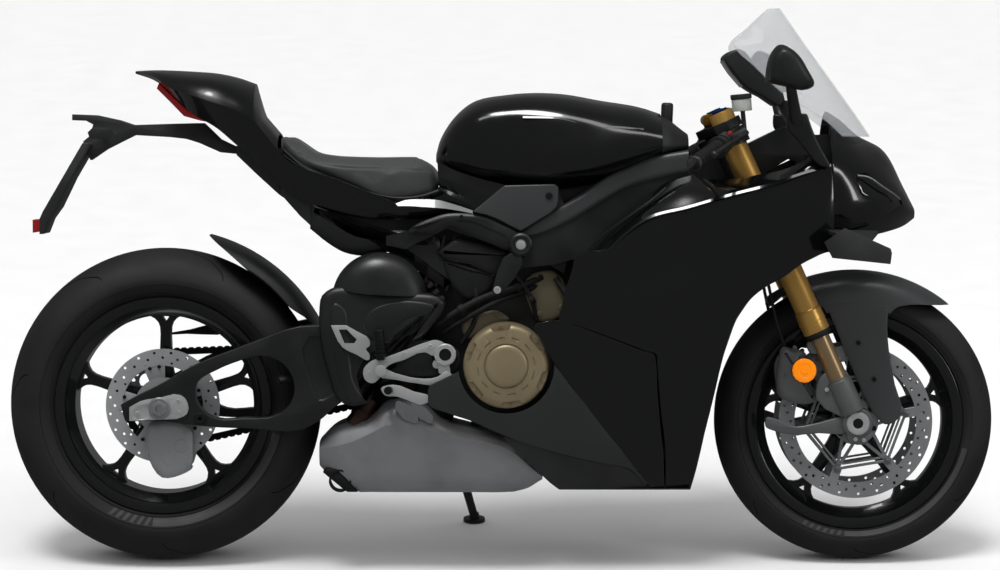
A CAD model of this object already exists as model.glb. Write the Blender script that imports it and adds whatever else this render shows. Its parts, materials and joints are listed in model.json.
import json
from math import cos, pi, radians, sin

import bpy
from mathutils import Matrix, Vector

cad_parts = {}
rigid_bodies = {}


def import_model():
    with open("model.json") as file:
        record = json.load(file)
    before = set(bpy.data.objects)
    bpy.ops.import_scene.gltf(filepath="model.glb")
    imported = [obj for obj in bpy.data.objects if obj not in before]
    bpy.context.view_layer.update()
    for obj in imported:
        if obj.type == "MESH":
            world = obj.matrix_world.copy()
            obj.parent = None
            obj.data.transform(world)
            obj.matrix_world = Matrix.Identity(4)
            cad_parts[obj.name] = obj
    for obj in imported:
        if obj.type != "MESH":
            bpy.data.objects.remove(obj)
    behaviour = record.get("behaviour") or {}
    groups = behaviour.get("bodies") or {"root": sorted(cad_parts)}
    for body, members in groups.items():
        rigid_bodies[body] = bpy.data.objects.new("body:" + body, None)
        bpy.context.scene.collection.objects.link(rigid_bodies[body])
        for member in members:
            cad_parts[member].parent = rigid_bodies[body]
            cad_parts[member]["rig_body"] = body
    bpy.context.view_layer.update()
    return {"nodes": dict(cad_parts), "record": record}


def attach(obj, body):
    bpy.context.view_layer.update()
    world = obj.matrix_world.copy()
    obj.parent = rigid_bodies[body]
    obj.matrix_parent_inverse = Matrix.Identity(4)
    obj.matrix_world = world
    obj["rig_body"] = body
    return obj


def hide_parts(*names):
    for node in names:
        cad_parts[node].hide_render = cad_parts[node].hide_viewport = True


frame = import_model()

NODES = frame["nodes"]

# ---- Where the bike stands ---------------------------------------------------------------------------
# Sizes below are millimetres on the upright bike: x forward from the rear axle, y to the rider's left, z up.
MM = 0.001
REAR_AXLE = (0, 0, 335.5)
FRONT_AXLE = (1485, 0, 300)
LEAN = radians(10)
_lean = Matrix.Rotation(-LEAN, 4, "X")
_mounts = {m["name"]: Vector(m["pos_m"]) for m in frame["record"]["mounts"]}
RAKE = radians(24)
FRONT_HUB, REAR_HUB = (FRONT_AXLE[0], FRONT_AXLE[2]), (REAR_AXLE[0], REAR_AXLE[2])
CLUTCH = (735, 428)
ARM_PIVOT = (605, 440)
SIDE_PIN = (766, 683)
REFLECTOR = (1369, 414)
PARK = Matrix.Translation(_mounts["rear_axle_bore"] - _lean @ (Vector(REAR_AXLE) * MM)) @ _lean


# ======================================================================================================
# Materials
# ======================================================================================================


def colour(code):
    """An sRGB hex colour as the linear values that the shader takes."""
    parts = [int(code[i:i + 2], 16) / 255 for i in (1, 3, 5)]
    return [c / 12.92 if c <= 0.04045 else ((c + 0.055) / 1.055) ** 2.4 for c in parts] + [1.0]


def node(tree, kind, settings=None, inputs=None, **links):
    """Adds a node with its settings, its values by socket name, and its links from other nodes' sockets."""
    n = tree.nodes.new(kind)
    for key, value in (settings or {}).items():
        setattr(n, key, value)
    for key, value in (inputs or {}).items():
        n.inputs[key].default_value = value
    for key, source in links.items():
        tree.links.new(source, n.inputs[key.replace("_", " ")])
    return n


def surface(name, base, roughness, metallic=0.0, grain=0.0, depth=0.0, mottle=0.2, worn=None, **sockets):
    """A material: base colour, roughness that varies, and a fine bump of `grain` mm and `depth` mm."""
    m = bpy.data.materials.new(name)
    m.use_nodes = True
    m.diffuse_color = colour(base)
    tree = m.node_tree
    shader = tree.nodes["Principled BSDF"]
    shader.inputs["Metallic"].default_value = metallic
    shader.inputs["Base Color"].default_value = colour(base)
    shader.inputs["Roughness"].default_value = roughness
    for key, value in sockets.items():
        shader.inputs[key.replace("_", " ")].default_value = value
    place = node(tree, "ShaderNodeTexCoord")
    blot = node(tree, "ShaderNodeTexNoise", None, {"Scale": 9.0, "Detail": 5.0},
        Vector=place.outputs["Object"])
    spread = node(tree, "ShaderNodeMapRange", None, {"From Min": 0.35, "From Max": 0.65,
        "To Min": roughness * (1 - mottle), "To Max": roughness * (1 + mottle)}, Value=blot.outputs["Fac"])
    tree.links.new(spread.outputs["Result"], shader.inputs["Roughness"])
    if worn:
        ramp = node(tree, "ShaderNodeValToRGB", None, None, Fac=blot.outputs["Fac"])
        ramp.color_ramp.elements[0].position, ramp.color_ramp.elements[0].color = 0.38, colour(base)
        ramp.color_ramp.elements[1].position, ramp.color_ramp.elements[1].color = 0.66, colour(worn)
        tree.links.new(ramp.outputs["Color"], shader.inputs["Base Color"])
    if grain:
        fine = node(tree, "ShaderNodeTexNoise", None, {"Scale": 1000.0 / grain, "Detail": 2.0},
            Vector=place.outputs["Object"])
        bump = node(tree, "ShaderNodeBump", None, {"Strength": 1.0, "Distance": depth * MM},
            Height=fine.outputs["Fac"])
        tree.links.new(bump.outputs["Normal"], shader.inputs["Normal"])
    return m


# Two-pack lacquer over black ABS: a deep black with a hard clear face and a faint orange peel 3 mm across.
GLOSS_BLACK = surface("lacquered_abs_black", "#060707", 0.16, grain=3.0, depth=0.004, mottle=0.25,
    Coat_Weight=0.8, Coat_Roughness=0.03)
# Injection-moulded polypropylene, grained in the tool: an even soft black with a 0.8 mm leathery grain.
GRAINED_BLACK = surface("moulded_polypropylene_black", "#1b1c1d", 0.52, grain=0.8, depth=0.05, mottle=0.15,
    worn="#232425")
# Satin powder coat on cast aluminium: black-grey, slightly pebbled, half matt.
POWDER_BLACK = surface("powder_coated_alloy_black", "#161718", 0.36, grain=1.2, depth=0.015, worn="#1d1e1f")
# Satin powder coat in near black over the cast frame: the deep shade behind the brighter strip.
POWDER_GREY = surface("powder_coated_alloy_graphite", "#0f1011", 0.42, grain=1.0, depth=0.012, mottle=0.15,
    worn="#1b1c1d")
# Matt lacquer over the lower panels: a dark green-grey beside the gloss black.
PANEL_GREY = surface("lacquered_abs_grey_green", "#212422", 0.38, grain=2.0, depth=0.004, Coat_Weight=0.15,
    Coat_Roughness=0.3)
# Cast magnesium with a champagne bronze paint: a warm, slightly metallic beige.
BRONZE_PAINT = surface("painted_magnesium_bronze", "#8a7d62", 0.38, metallic=0.6, grain=0.6, depth=0.01,
    mottle=0.15, worn="#94876b")
# Gold anodised aluminium, turned: bright and smooth.
GOLD = surface("anodised_aluminium_gold", "#c08a2c", 0.26, metallic=1.0)
# Nitrided steel slider tube: ground brown-bronze.
SLIDER = surface("nitrided_steel_bronze", "#b09670", 0.34, metallic=0.85)
# Machined aluminium, left bare: silver with a light satin.
ALLOY = surface("machined_aluminium_bare", "#b4b5b6", 0.34, metallic=1.0, grain=0.5, depth=0.006)
# Sand-cast aluminium with grey paint: a dull grey with a 1 mm grit.
CAST_GREY = surface("cast_aluminium_grey", "#6b6c6d", 0.5, metallic=0.7, grain=1.0, depth=0.05)
# The same casting in near black for the engine block: dark, dry and gritty.
CAST_DARK = surface("cast_aluminium_dark", "#1a1a1b", 0.5, metallic=0.3, grain=1.0, depth=0.05, mottle=0.25,
    worn="#262627")
# Heat-resistant satin enamel on pressed steel: a mid grey with a soft metal sheen.
SILENCER_GREY = surface("heat_enamel_steel_grey", "#8b8c8e", 0.4, metallic=0.6, grain=0.9, depth=0.008,
    mottle=0.2, worn="#7a7b7d")
# Ground stainless steel of the discs: grey, with the fine even grain that grinding leaves.
STEEL = surface("ground_stainless_steel", "#9fa1a3", 0.42, metallic=0.75, grain=0.4, depth=0.006, mottle=0.25)
# Blackened steel of bolts and chain: dark with a dull metal shine.
DARK_STEEL = surface("blackened_steel", "#2a2b2c", 0.4, metallic=0.8, grain=0.6, depth=0.01, mottle=0.25)
# Exhaust steel tinted by heat: brown with darker clouds.
HOT_STEEL = surface("heat_tinted_steel", "#8a6a55", 0.35, metallic=1.0, mottle=0.4, worn="#5c4a44")
# Vulcanised tyre rubber: matt black-grey with a fine mould grain.
RUBBER = surface("vulcanised_rubber", "#131314", 0.72, grain=0.9, depth=0.03, mottle=0.12, worn="#18181a")
# Moulded rubber of grips, hoses and seals: matt and even.
SOFT_RUBBER = surface("moulded_rubber_black", "#111112", 0.7, grain=0.7, depth=0.03, mottle=0.12)
# Coated upholstery fabric of the seat: dark grey with a 1 mm grain and no shine.
SEAT_COVER = surface("coated_upholstery_fabric", "#2c2d2e", 0.62, grain=1.1, depth=0.06, mottle=0.12,
    worn="#333435", Sheen_Weight=0.15)
# Cast acrylic of the screen: clear, faintly grey, with a sharp reflection.
CLEAR = surface("cast_acrylic_clear", "#c3c7c9", 0.05, IOR=1.49, Alpha=0.24, mottle=0.3)
# Moulded acrylic lenses, red behind and amber beside the fork: deep colour under a clear face.
RED_LENS = surface("moulded_acrylic_red", "#8c1414", 0.15, IOR=1.49, Coat_Weight=0.6, mottle=0.3)
AMBER = surface("moulded_acrylic_amber", "#ff8c00", 0.18, IOR=1.49, Coat_Weight=0.6, mottle=0.3)
# Glass over a dark display, also the headlamp covers: black with a mirror-like face.
DISPLAY = surface("glass_faced_display", "#08090a", 0.08, Coat_Weight=1.0, mottle=0.3)
# Blue anodised aluminium of the fork caps: a small deep blue accent.
BLUE = surface("anodised_aluminium_blue", "#1d4fa0", 0.3, metallic=1.0)
# Knurled bands moulded into the tyre's flank: a lighter, rougher black than the tread.
KNURLED_RUBBER = surface("knurled_rubber_band", "#303031", 0.62, grain=1.6, depth=0.12)
# Lacquered cast aluminium wheels: black with a clear gloss over a slightly grainy casting.
WHEEL_BLACK = surface("lacquered_cast_alloy_black", "#0d0e0f", 0.2, grain=1.2, depth=0.01, Coat_Weight=0.5)
# Grey anodised aluminium of the disc carriers and the axle nut: even and half matt.
CARRIER_GREY = surface("anodised_aluminium_grey", "#96989a", 0.42, metallic=0.75)
# The rear disc's ground stainless steel, a shade lighter than the front discs.
ROTOR_LIGHT = surface("ground_stainless_light", "#b9bbbd", 0.42, metallic=0.7, grain=0.4, depth=0.006,
    mottle=0.25)
# Satin black of the moulded shields, tail beam and mirrors, and of the coat on the swingarm.
SATIN_BLACK = surface("moulded_polyamide_satin_black", "#141515", 0.38, grain=1.2, depth=0.02,
    worn="#191a1a")
# Satin graphite lacquer on the frame strip, its cover plate and the front mudguard.
SATIN_GREY = surface("lacquered_alloy_satin_graphite", "#343536", 0.34, grain=1.5, depth=0.006, mottle=0.15,
    worn="#303132")
# Freshly machined aluminium of footrests, axle plates and pins: the brightest metal.
BRIGHT_ALLOY = surface("machined_aluminium_bright", "#d8d9da", 0.34, metallic=0.8, grain=0.6, depth=0.006,
    mottle=0.1)
# Magnesium castings beside the engine in dull olive paint, darkened by heat.
WORN_BRONZE = surface("painted_magnesium_olive", "#6c6450", 0.5, metallic=0.4, grain=0.8, depth=0.04,
    mottle=0.3)
# Machined caliper casting: light grey with a faint grit.
CAST_LIGHT = surface("machined_caliper_grey", "#a3a5a7", 0.42, metallic=0.7, grain=0.8, depth=0.02,
    mottle=0.25)
# Gold anodised fork tubes: warm and bright, with a soft highlight down the length.
FORK_GOLD = surface("anodised_tube_gold", "#e6b563", 0.36, metallic=0.85, grain=0.6, depth=0.004)
# Silvered glass of the mirrors: a clean reflection.
MIRROR_GLASS = surface("silvered_glass", "#a9b0b4", 0.04, metallic=1.0)
# Milky polyamide of the fluid cup: pale, with a little light through it.
CUP_PLASTIC = surface("moulded_polyamide_milky", "#b9bcb6", 0.3, Transmission_Weight=0.35)

# What each CAD node is finished in.
FINISH = {"main_frame": POWDER_GREY, "fairing_stay": POWDER_BLACK, "frame_covers": POWDER_GREY,
    "subframe": POWDER_BLACK, "engine_block": CAST_DARK, "clutch_cover": BRONZE_PAINT,
    "alternator_cover": BRONZE_PAINT, "front_sprocket": DARK_STEEL, "sprocket_cover": GRAINED_BLACK,
    "swingarm": POWDER_BLACK, "stand_bosses": DARK_STEEL, "swingarm_pivot": DARK_STEEL, "rear_axle": ALLOY,
    "rear_caliper": CAST_GREY, "rear_shock": GOLD, "chain": DARK_STEEL, "hugger": GRAINED_BLACK,
    "footrests": ALLOY, "silencer": SILENCER_GREY, "exhaust_pipes": HOT_STEEL, "heat_shield": GRAINED_BLACK,
    "fuel_tank": GLOSS_BLACK, "airbox_cover": GRAINED_BLACK, "seat": SEAT_COVER, "tail_cowl": GLOSS_BLACK,
    "tail_light": RED_LENS, "plate_holder": GRAINED_BLACK, "rear_reflector": RED_LENS,
    "rear_indicators": GRAINED_BLACK, "side_fairings": GLOSS_BLACK, "belly_fairings": PANEL_GREY,
    "nose_cowl": GLOSS_BLACK, "headlamps": DISPLAY, "windscreen": CLEAR, "dash": DISPLAY,
    "mirrors": GLOSS_BLACK, "winglets": GRAINED_BLACK, "radiator": ALLOY, "stand_bracket": POWDER_BLACK,
    "side_stand": POWDER_BLACK, "triple_clamps": POWDER_GREY, "fork_tubes": GOLD, "fork_legs": SLIDER,
    "front_axle": ALLOY, "front_calipers": CAST_GREY, "front_mudguard": POWDER_GREY,
    "handlebars": POWDER_BLACK, "grips": SOFT_RUBBER, "hand_controls": GRAINED_BLACK,
    "levers": POWDER_BLACK, "steering_damper": GOLD, "front_tyre": RUBBER, "rear_tyre": RUBBER,
    "front_rim": POWDER_BLACK, "rear_rim": POWDER_BLACK, "front_discs": STEEL, "rear_disc": STEEL,
    "rear_sprocket": STEEL, "brake_hoses": SOFT_RUBBER, "front_reflectors": AMBER}
for name, cad in NODES.items():
    cad.data.materials.clear()
    cad.data.materials.append(FINISH[name])


# ======================================================================================================
# Tools of the workshop
# ======================================================================================================


def only(piece):
    """Makes one object the selected and active one."""
    bpy.ops.object.select_all(action="DESELECT")
    piece.select_set(True)
    bpy.context.view_layer.objects.active = piece


def named(name):
    """Names the object that an operator has just added, and moves its place into its mesh."""
    piece = bpy.context.object
    piece.name = name
    only(piece)
    bpy.ops.object.transform_apply(location=True, rotation=True, scale=True)
    return piece


def shape(piece, test, *steps, kind="FACE"):
    """Selects the faces, edges or vertices that pass a test, then runs the steps on them in edit mode."""
    only(piece)
    mesh = piece.data
    bpy.ops.object.mode_set(mode="EDIT")
    bpy.ops.mesh.select_mode(type=kind)
    bpy.ops.mesh.select_all(action="DESELECT")
    bpy.ops.object.mode_set(mode="OBJECT")
    for part in {"FACE": mesh.polygons, "EDGE": mesh.edges, "VERT": mesh.vertices}[kind]:
        part.select = test(part)
    bpy.ops.object.mode_set(mode="EDIT")
    for step in steps:
        step()
    bpy.ops.object.mode_set(mode="OBJECT")


def tidy(piece, gap=0.00002):
    """Merges doubled points and turns every face outwards."""
    shape(piece, lambda f: True, lambda: bpy.ops.mesh.remove_doubles(threshold=gap),
          lambda: bpy.ops.mesh.normals_make_consistent(inside=False))


def modify(piece, kind, **settings):
    """Adds a modifier and applies it."""
    only(piece)
    mod = piece.modifiers.new(kind.lower(), kind)
    for key, value in settings.items():
        setattr(mod, key, value)
    bpy.ops.object.modifier_apply(modifier=mod.name)
    return piece


def soften(piece, width, segments=2, angle=30):
    """Rounds the sharp edges by a width in millimetres."""
    return modify(piece, "BEVEL", width=width * MM, segments=segments, limit_method="ANGLE",
        angle_limit=radians(angle), use_clamp_overlap=True)


def joined(name, pieces):
    """One object from several."""
    bpy.ops.object.select_all(action="DESELECT")
    for p in pieces:
        p.select_set(True)
    bpy.context.view_layer.objects.active = pieces[0]
    bpy.ops.object.join()
    bpy.context.object.name = name
    return bpy.context.object


def other_side(piece, name):
    """The mirror image on the other side of the bike, with its own mesh."""
    new = bpy.data.objects.new(name, piece.data.copy())
    bpy.context.scene.collection.objects.link(new)
    new.data.transform(Matrix.Scale(-1, 4, (0, 1, 0)))
    new.data.flip_normals()
    return new


def both(piece, name):
    """A piece of one side joined with its mirror image."""
    return joined(name, [piece, other_side(piece, name + "_right")])


def pair(name, parts):
    """Several parts of one side as one piece, joined with their mirror image."""
    return both(joined(name, parts), name)


def settle(piece, body, material, stands_for, angle):
    """Parks a finished piece with the bike, smooths it, and lets it ride on its body.

    It stands for the named CAD nodes, and a piece that stands for none takes its material's slot.
    """
    only(piece)
    bpy.ops.object.transform_apply(location=True, rotation=True, scale=True)
    piece.data.transform(PARK)
    piece.data.materials.clear()
    piece.data.materials.append(material)
    bpy.ops.object.shade_smooth_by_angle(angle=radians(angle))
    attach(piece, body)
    if stands_for:
        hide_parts(*stands_for)
    return piece


def eased(a, b, start, end, t):
    """The value a share t of the way from a to b, leaving with one slope and arriving with another."""
    return (a * (2 * t ** 3 - 3 * t ** 2 + 1) + start * (t ** 3 - 2 * t ** 2 + t)
            + b * (3 * t ** 2 - 2 * t ** 3) + end * (t ** 3 - t ** 2))


def thread(points, steps, sharp=()):
    """Points on a smooth line through the given ones, `steps` to each interval, with corners at `sharp`."""
    pts = [Vector(p) for p in points]
    last = len(pts) - 1
    line = []
    for i in range(last):
        a, b = pts[i], pts[i + 1]
        chord = (b - a).length or 1.0
        start = end = b - a
        if i > 0 and i not in sharp:
            back = (a - pts[i - 1]).length or 1.0
            start = ((a - pts[i - 1]) / back * chord + (b - a) / chord * back) / (chord + back) * chord
        if i + 1 < last and i + 1 not in sharp:
            on = (pts[i + 2] - b).length or 1.0
            end = ((b - a) / chord * on + (pts[i + 2] - b) / on * chord) / (chord + on) * chord
        line += [eased(a, b, start, end, k / steps) for k in range(steps)]
    line.append(pts[last])
    return line


def sheet(name, rows, across, along, sharp=(), sharp_rows=(), outward=(0, 1, 0)):
    """A grid pulled onto rows of points, smooth both ways, with its faces towards `outward`."""
    fine = [thread(row, across, sharp) for row in rows]
    lines = [thread(list(column), along, sharp_rows) for column in zip(*fine)]
    wide, deep = len(lines), len(lines[0])
    bpy.ops.object.select_all(action="DESELECT")
    bpy.ops.mesh.primitive_grid_add(x_subdivisions=wide - 1, y_subdivisions=deep - 1, size=1)
    piece = named(name)
    flat = [c * MM for j in range(deep) for i in range(wide) for c in lines[i][j]]
    piece.data.vertices.foreach_set("co", flat)
    piece.data.update()
    total = sum((f.normal * f.area for f in piece.data.polygons), Vector())
    if total.dot(Vector(outward)) < 0:
        piece.data.flip_normals()
    return piece


def walled(piece, thickness, offset=-1):
    """Gives a sheet its wall."""
    return modify(piece, "SOLIDIFY", thickness=thickness * MM, offset=offset, use_even_offset=True)


def lathe(name, profile, centre, steps, start=0.0, sweep=360.0):
    """A closed (radius, y) profile turned about the line along y through a centre (x, z)."""
    x, z = centre
    bpy.ops.object.select_all(action="DESELECT")
    bpy.ops.mesh.primitive_circle_add(vertices=len(profile), radius=1)
    piece = named(name)
    a = radians(start)
    for v, (r, y) in zip(piece.data.vertices, profile):
        v.co = Vector((x + r * cos(a), y, z + r * sin(a))) * MM
    shape(piece, lambda v: True, lambda: bpy.ops.mesh.spin(steps=steps, angle=radians(sweep),
        center=(x * MM, 0, z * MM), axis=(0, 1, 0)), kind="VERT")
    tidy(piece)
    if sweep < 360:
        shape(piece, lambda v: True, lambda: bpy.ops.mesh.fill_holes(sides=0),
              lambda: bpy.ops.mesh.normals_make_consistent(inside=False), kind="VERT")
    return piece


def drum(name, start, end, radius, end_radius=None, sides=48):
    """A round bar between two points, tapered if a second radius is given."""
    a, b = Vector(start) * MM, Vector(end) * MM
    turn = (b - a).to_track_quat("Z", "Y").to_euler()
    bpy.ops.object.select_all(action="DESELECT")
    bpy.ops.mesh.primitive_cone_add(vertices=sides, radius1=radius * MM,
        radius2=(radius if end_radius is None else end_radius) * MM, depth=(b - a).length,
        location=(a + b) / 2, rotation=turn)
    return named(name)


def rod(name, points, radius, steps=5, sides=12):
    """A bent round bar through points, as a list of short straight lengths."""
    line = [tuple(p) for p in thread(points, steps)]
    return [drum(name, a, b, radius, sides=sides) for a, b in zip(line, line[1:])]


def slab(name, corners, y_low, y_high, round_by=0.0, segments=2):
    """A plate with an (x, z) outline between two distances from the centre plane, its edges rounded."""
    bpy.ops.object.select_all(action="DESELECT")
    bpy.ops.mesh.primitive_circle_add(vertices=len(corners), radius=1, fill_type="NGON")
    piece = named(name)
    for v, (x, z) in zip(piece.data.vertices, corners):
        v.co = Vector((x, y_low, z)) * MM
    shape(piece, lambda f: True, lambda: bpy.ops.mesh.extrude_region_move(
        TRANSFORM_OT_translate={"value": (0, (y_high - y_low) * MM, 0)}))
    tidy(piece)
    if round_by:
        soften(piece, round_by, segments)
    return piece


def cut(piece, *tools, how="DIFFERENCE"):
    """Takes tools away from a piece, or keeps what they share."""
    for tool in tools:
        modify(piece, "BOOLEAN", object=tool, operation=how, solver="EXACT")
        bpy.data.objects.remove(tool)
    return piece


def refined(name, width, segments=2):
    """A CAD node's own shape with its doubled points merged and its edges rounded, standing for the node."""
    cad = NODES[name]
    piece = bpy.data.objects.new(name + "_fine", cad.data.copy())
    bpy.context.scene.collection.objects.link(piece)
    tidy(piece, 0.00001)
    only(piece)
    bpy.ops.object.mode_set(mode="EDIT")
    bpy.ops.mesh.select_all(action="SELECT")
    bpy.ops.mesh.dissolve_limited(angle_limit=radians(0.5))
    bpy.ops.object.mode_set(mode="OBJECT")
    soften(piece, width, segments, 35)
    piece.data.materials.clear()
    piece.data.materials.append(FINISH[name])
    bpy.ops.object.shade_smooth_by_angle(angle=radians(40))
    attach(piece, cad["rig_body"])
    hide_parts(name)
    return piece


# ======================================================================================================
# Bodywork: sculpted panels, pulled from sheets because a plain operator can't give their double curvature
# ======================================================================================================


# The wall of a moulded panel.
PANEL_WALL = 2.5


def whole_rows(rows):
    """Rows of (x, [(half_width, z), ...]) from the left edge over the top to the right edge."""
    out = []
    for x, half in rows:
        left = [(x, w, z) for w, z in half]
        out.append(left + [(x, -w, z) for w, z in reversed(half[:-1])])
    return out


def tank():
    """The fuel tank: a full crown that narrows to the seat, with hollows for the knees."""
    rows = whole_rows([
        (585, [(48, 856), (62, 860), (60, 868), (50, 872), (34, 874), (16, 875), (0, 875)]),
        (592, [(62, 850), (84, 864), (80, 880), (66, 890), (44, 897), (22, 900), (0, 901)]),
        (606, [(78, 844), (104, 862), (100, 890), (84, 912), (58, 923), (30, 927), (0, 928)]),
        (622, [(86, 838), (114, 860), (112, 900), (96, 930), (68, 944), (36, 949), (0, 950)]),
        (660, [(98, 822), (132, 856), (132, 915), (114, 955), (82, 973), (42, 981), (0, 983)]),
        (740, [(104, 806), (150, 846), (146, 920), (128, 968), (94, 990), (48, 999), (0, 1001)]),
        (850, [(108, 800), (170, 842), (162, 915), (140, 965), (102, 990), (52, 1000), (0, 1003)]),
        (940, [(112, 816), (174, 856), (162, 915), (136, 955), (98, 976), (50, 985), (0, 988)]),
        (1030, [(110, 850), (160, 880), (150, 918), (122, 944), (86, 962), (44, 970), (0, 972)]),
        (1066, [(106, 868), (152, 890), (141, 916), (114, 937), (80, 950), (40, 958), (0, 960)]),
    ])
    body = sheet("tank_shell", rows, 6, 6, outward=(0, 0, 1))
    settle(walled(body, 2), "chassis", GLOSS_BLACK, ["fuel_tank"], 60)


def airbox():
    """The low lid ahead of the tank, with the ignition lock on it."""
    rows = whole_rows([
        (1064, [(104, 866), (150, 889), (139, 914), (112, 935), (78, 948), (38, 956), (0, 958)]),
        (1084, [(102, 874), (142, 890), (131, 910), (104, 929), (72, 940), (36, 946), (0, 948)]),
        (1106, [(92, 880), (122, 891), (113, 905), (92, 918), (62, 926), (30, 930), (0, 931)]),
        (1124, [(82, 884), (102, 892), (94, 902), (78, 910), (52, 915), (26, 917), (0, 917)]),
    ])
    body = walled(sheet("airbox_lid", rows, 5, 5, outward=(0, 0, 1)), 2)
    lid = drum("ignition_barrel", (1081, 0, 935), (1083, 0, 984), 13)
    soften(lid, 6, 3)
    settle(joined("airbox_lid", [body, lid]), "chassis", GRAINED_BLACK, ["airbox_cover"], 50)


def tail():
    """The tail cowl: a raised hump behind the seat that runs out to a flat, pointed end."""
    rows = whole_rows([
        (-62, [(18, 1046), (26, 1049), (18, 1051), (8, 1052), (0, 1052)]),
        (-17, [(50, 1030), (72, 1038), (52, 1048), (22, 1053), (0, 1054)]),
        (22, [(72, 1001), (106, 1013), (78, 1037), (36, 1050), (0, 1053)]),
        (60, [(84, 964), (122, 1001), (92, 1031), (42, 1047), (0, 1051)]),
        (119, [(90, 928), (132, 982), (104, 1019), (48, 1041), (0, 1046)]),
        (160, [(92, 893), (134, 968), (108, 1004), (50, 1031), (0, 1037)]),
        (197, [(96, 862), (134, 950), (106, 984), (52, 1015), (0, 1024)]),
        (207, [(98, 852), (133, 938), (105, 958), (52, 980), (0, 988)]),
        (216, [(100, 842), (131, 926), (104, 943), (50, 953), (0, 956)]),
        (249, [(100, 818), (127, 884), (102, 904), (50, 915), (0, 917)]),
    ])
    body = walled(sheet("tail_shell", rows, 6, 6, sharp=(1, 7), sharp_rows=(6, 8), outward=(0, 0, 1)),
        PANEL_WALL)
    settle(body, "chassis", GLOSS_BLACK, ["tail_cowl"], 32)


def tail_side():
    """The gloss panel below the seat, from the tail forward to the frame cover."""
    rows = [
        [(246, 128, 886), (262, 129, 868), (296, 130, 846), (361, 128, 824), (440, 122, 793), (499, 112, 769),
         (560, 112, 762), (640, 122, 762)],
        [(246, 126, 860), (262, 126, 840), (296, 127, 815), (361, 124, 792), (440, 117, 768), (499, 110, 752),
         (560, 108, 748), (640, 118, 752)],
        [(246, 112, 812), (262, 111, 800), (296, 111, 778), (361, 109, 752), (440, 104, 737), (499, 98, 734),
         (560, 98, 736), (640, 112, 744)],
    ]
    panel = both(walled(sheet("tail_side", rows, 8, 6), PANEL_WALL), "tail_side")
    settle(panel, "chassis", GLOSS_BLACK, (), 32)


def tank_skirt():
    """The panel between the tank and the frame cover, beside the front of the seat."""
    rows = [
        [(588, 92, 858), (625, 104, 840), (680, 116, 822), (735, 126, 808)],
        [(590, 104, 826), (622, 114, 812), (668, 124, 795), (706, 132, 782)],
        [(592, 96, 802), (618, 110, 790), (645, 122, 778), (676, 131, 762)],
        [(560, 90, 764), (598, 102, 762), (630, 116, 760), (668, 128, 750)],
    ]
    panel = both(walled(sheet("tank_skirt", rows, 8, 6, sharp_rows=(1, 2)), PANEL_WALL), "tank_skirt")
    settle(panel, "chassis", GLOSS_BLACK, (), 32)


SIDE_LEVELS = (860, 800, 740, 660, 560, 450, 330, 240, 158)
SIDE_STATIONS = (560, 900, 1100, 1250, 1450)
SIDE_WIDTHS = (
    (150, 175, 195, 205, 206, 204, 196, 178, 140), (155, 192, 215, 224, 220, 213, 202, 184, 140),
    (172, 208, 226, 232, 226, 213, 193, 172, 125), (190, 220, 230, 226, 208, 190, 172, 152, 110),
    (176, 180, 178, 166, 150, 140, 130, 120, 100),
)


def curve_at(marks, values, where):
    """A smooth value between marks that rise or fall."""
    order = sorted(range(len(marks)), key=lambda i: marks[i])
    m, v = [marks[i] for i in order], [values[i] for i in order]
    where = min(max(where, m[0]), m[-1])
    k = max(i for i in range(len(m) - 1) if m[i] <= where)
    gap = m[k + 1] - m[k]
    slope = []
    for i in (k, k + 1):
        before, after = max(i - 1, 0), min(i + 1, len(m) - 1)
        slope.append((v[after] - v[before]) / (m[after] - m[before]))
    return eased(v[k], v[k + 1], slope[0] * gap, slope[1] * gap, (where - m[k]) / gap)


def side_width(x, z):
    """Half the width of the fairing at a place."""
    return curve_at(SIDE_STATIONS, [curve_at(SIDE_LEVELS, w, z) for w in SIDE_WIDTHS], x)


# The oval dish behind the fairing's shoulder: its middle (x, z), its tilt, its half axes and its depth.
DISH_X, DISH_Z, DISH_TILT = 1060, 640, 0.34
DISH_LONG, DISH_SHORT, DISH_DEPTH = 190, 62, 15


def hollow(x, z):
    """How far the side is scooped in at a place in the dish."""
    right, up = x - DISH_X, z - DISH_Z
    u, w = right * cos(DISH_TILT) + up * sin(DISH_TILT), up * cos(DISH_TILT) - right * sin(DISH_TILT)
    reach = (u / DISH_LONG) ** 2 + (w / DISH_SHORT) ** 2
    return DISH_DEPTH * max(0.0, 1 - reach) ** 1.5


def side_panel(name, edges, lift=0.0):
    """A panel on the side of the fairing from (z, x_rear, x_front) levels."""
    rows = []
    for z, rear, front in edges:
        spots = [rear + (front - rear) * k / 10 for k in range(11)]
        rows.append([(x, side_width(x, z) + lift - hollow(x, z), z) for x in spots])
    panel = walled(sheet(name, rows, 2, 4), 3)
    return both(panel, name)


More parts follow.
